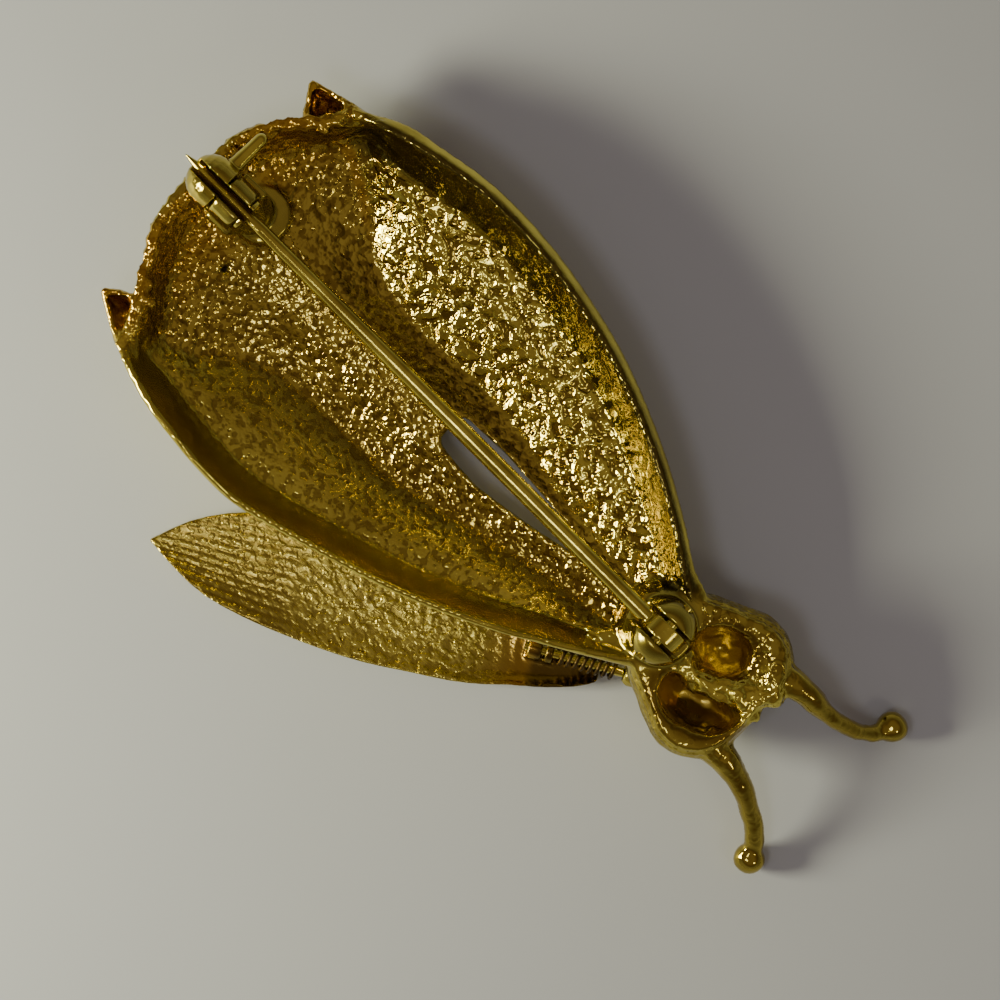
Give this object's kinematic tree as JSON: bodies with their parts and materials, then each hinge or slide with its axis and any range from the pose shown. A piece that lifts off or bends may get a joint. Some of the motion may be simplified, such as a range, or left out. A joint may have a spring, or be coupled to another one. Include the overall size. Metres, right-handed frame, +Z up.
{
  "type": "insect brooch",
  "caption": "Cast gold-tone insect brooch lying on its front, with a hollow back, a hinged pin, a turning safety catch and one sprung side wing.",
  "frame": {"origin": "the middle of the overall box, on the surface that the brooch lies on", "axes": "+X from the tail to the head, +Y towards the side without the spread wing, +Z up from the surface to the pin"},
  "size_m": [0.0532, 0.0289, 0.0089],
  "materials": {
    "cast_gold": "polished gold plate over a pebbled casting",
    "wing_gold": "satin gold plate with fine grooves",
    "finding_gold": "bright smooth gold plate",
    "pin_gold": "bright drawn wire, gold plated",
    "spring_wire": "darkened spring wire"
  },
  "bodies": {
    "casting": {"body_casting": "cast_gold", "pin_rivet": "finding_gold", "wing_axle": "finding_gold", "wing_spring": "spring_wire"},
    "pin": {"pin_stem": "pin_gold"},
    "rotor": {"catch_rotor": "finding_gold"},
    "wing": {"side_wing": "wing_gold"}
  },
  "joints": [
    {"name": "pin_lift", "type": "hinge", "parent": "casting", "child": "pin", "pos_m": [0.01197, 0.00317, 0.0074], "axis": [0, 1, 0], "range_deg": [0, 100]},
    {"name": "catch_turn", "type": "hinge", "parent": "casting", "child": "rotor", "pos_m": [-0.02263, 0.00317, 0.0074], "axis": [1, 0, 0], "range_deg": [0, 120]},
    {"name": "wing_flap", "type": "hinge", "parent": "casting", "child": "wing", "pos_m": [0.01202, -0.00023, 0.002], "axis": [-0.8712, -0.4909, 0], "range_deg": [-10, 40], "stiffness_Nm_per_rad": 0.002}
  ]
}
